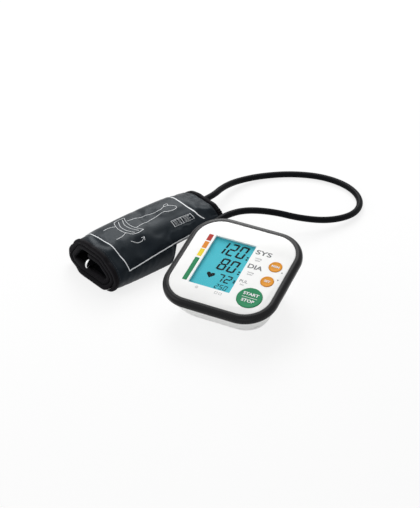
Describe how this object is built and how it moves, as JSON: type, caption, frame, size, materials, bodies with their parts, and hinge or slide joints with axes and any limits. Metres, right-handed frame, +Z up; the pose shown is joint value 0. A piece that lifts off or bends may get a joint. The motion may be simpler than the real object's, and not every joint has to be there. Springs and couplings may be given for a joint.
{
  "type": "upper-arm blood pressure monitor",
  "caption": "Table-top blood pressure monitor with a sloping display face and push buttons, joined by an air hose to a rolled upper-arm cuff.",
  "frame": {"origin": "on the table, at the console's flat base, straight under the centre of its face", "axes": "+X to the console's right, +Y to its far edge, +Z up"},
  "size_m": [0.272, 0.3454, 0.0646],
  "materials": {
    "white_plastic": "fine satin moulding",
    "dark_rim_plastic": "satin dark moulding",
    "clear_window": "clear",
    "display_teal": "lit liquid crystal display",
    "diffuser": "milky",
    "tray_plastic": "fine",
    "button_green": "satin",
    "button_orange": "satin",
    "board_green": "lacquered",
    "black_plastic": "fine",
    "steel": "bright",
    "cell_wrap": "printed sleeve, plain",
    "motor_steel": "drawn can",
    "soft_rubber": "matt",
    "clear_rubber": "milky",
    "hose_rubber": "semi-matt",
    "cuff_cloth": "tight nylon weave",
    "lining_cloth": "soft weave",
    "binding_cloth": "bound edge",
    "hook_nylon": "hook tape",
    "chrome_bar": "polished"
  },
  "bodies": {
    "console": {"face_panel": "white_plastic", "rim_frame": "dark_rim_plastic", "lower_housing": "white_plastic", "window_lens": "clear_window", "housing_screws": "steel", "air_socket": "black_plastic", "display_glass": "display_teal", "backlight_panel": "diffuser", "display_tray": "tray_plastic", "main_board": "board_green", "control_chip": "black_plastic", "start_switch": "black_plastic", "memory_switch": "black_plastic", "set_switch": "black_plastic", "buzzer": "black_plastic", "board_screws": "steel", "battery_1": "cell_wrap", "battery_2": "cell_wrap", "battery_3": "cell_wrap", "battery_4": "cell_wrap", "left_contacts": "steel", "right_contacts": "steel", "pump_motor": "motor_steel", "pump_head": "tray_plastic", "pump_cradle": "soft_rubber", "release_valve": "black_plastic", "pressure_sensor": "black_plastic", "air_manifold": "tray_plastic", "pump_tube": "clear_rubber", "valve_tube": "clear_rubber", "socket_tube": "clear_rubber", "sensor_tube": "clear_rubber"},
    "start_button": {"start_button": "button_green"},
    "memory_button": {"memory_button": "button_orange"},
    "set_button": {"set_button": "button_orange"},
    "battery_door": {"battery_door": "white_plastic"},
    "cuff_set": {"air_plug": "black_plastic", "hose": "hose_rubber", "hose_sleeve": "hose_rubber", "cuff_port": "black_plastic", "cuff_outer_cloth": "cuff_cloth", "cuff_inner_cloth": "lining_cloth", "air_bladder": "soft_rubber", "near_binding": "binding_cloth", "far_binding": "binding_cloth", "hook_patch": "hook_nylon", "cuff_ring": "chrome_bar"}
  },
  "joints": [
    {"name": "start_press", "type": "slide", "parent": "console", "child": "start_button", "axis": [0, 0.1977, -0.9803], "range_m": [0, 0.0008], "stiffness_N_per_m": 2500, "springref_m": -0.0003},
    {"name": "memory_press", "type": "slide", "parent": "console", "child": "memory_button", "axis": [0, 0.1977, -0.9803], "range_m": [0, 0.0008], "stiffness_N_per_m": 2500, "springref_m": -0.0003},
    {"name": "set_press", "type": "slide", "parent": "console", "child": "set_button", "axis": [0, 0.1977, -0.9803], "range_m": [0, 0.0008], "stiffness_N_per_m": 2500, "springref_m": -0.0003},
    {"name": "battery_door_slide", "type": "slide", "parent": "console", "child": "battery_door", "axis": [0, 1, 0], "range_m": [0, 0.012]},
    {"name": "air_plug_pull", "type": "slide", "parent": "console", "child": "cuff_set", "axis": [-1, 0, 0], "range_m": [0, 0.016]}
  ]
}
